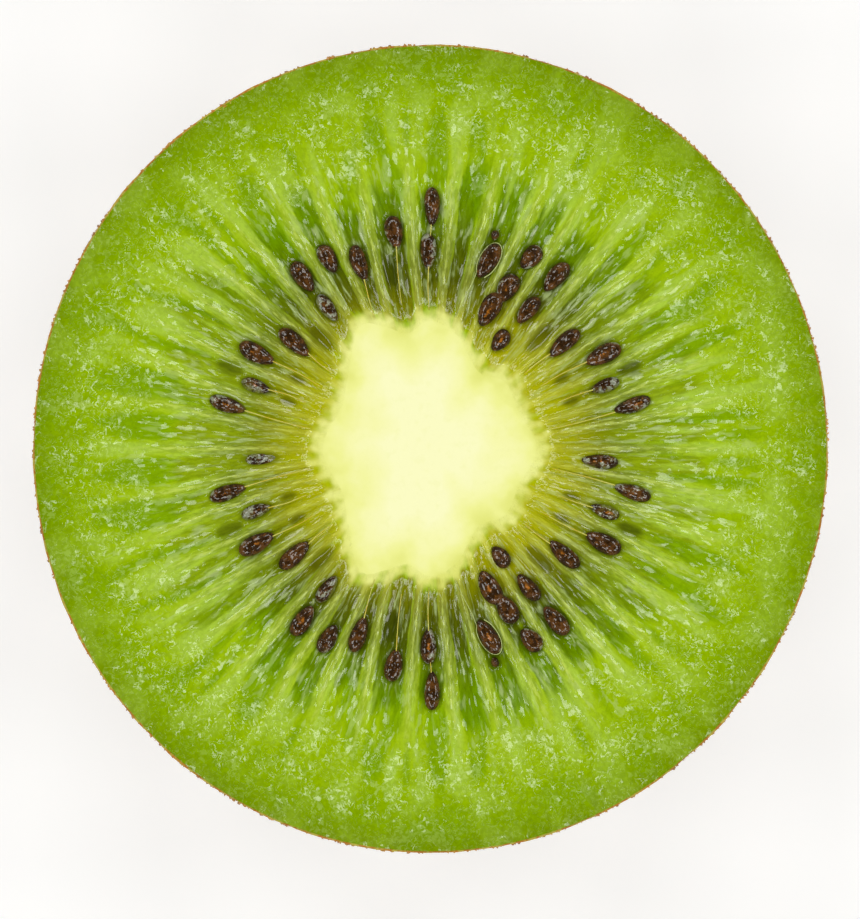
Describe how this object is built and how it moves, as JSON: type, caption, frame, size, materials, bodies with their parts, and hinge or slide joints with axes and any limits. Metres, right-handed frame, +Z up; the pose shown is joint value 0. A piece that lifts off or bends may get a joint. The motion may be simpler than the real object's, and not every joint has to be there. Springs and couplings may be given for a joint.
{
  "type": "kiwi fruit half",
  "caption": "Kiwi fruit half, cut across its middle: green flesh with dark seeds and pale rays round a cream core, in a thin brown hairy skin, standing on its stem end.",
  "frame": {"origin": "middle of the small rest flat at the stem end, in the plane that the fruit stands on", "axes": "+Z up along the fruit's core, out of the cut; +X and +Y lie across the cut, and the fruit is slightly longer along Y"},
  "size_m": [0.0515, 0.0524, 0.0314],
  "materials": {
    "flesh": "wet green fruit flesh, slightly translucent",
    "skin": "dull brown fruit skin with short brown hairs",
    "seeds": "wet near-black seeds, finely pitted",
    "core": "moist cream fruit core, soft sheen"
  },
  "bodies": {
    "root": {"flesh": "flesh", "core": "core"}
  },
  "joints": []
}
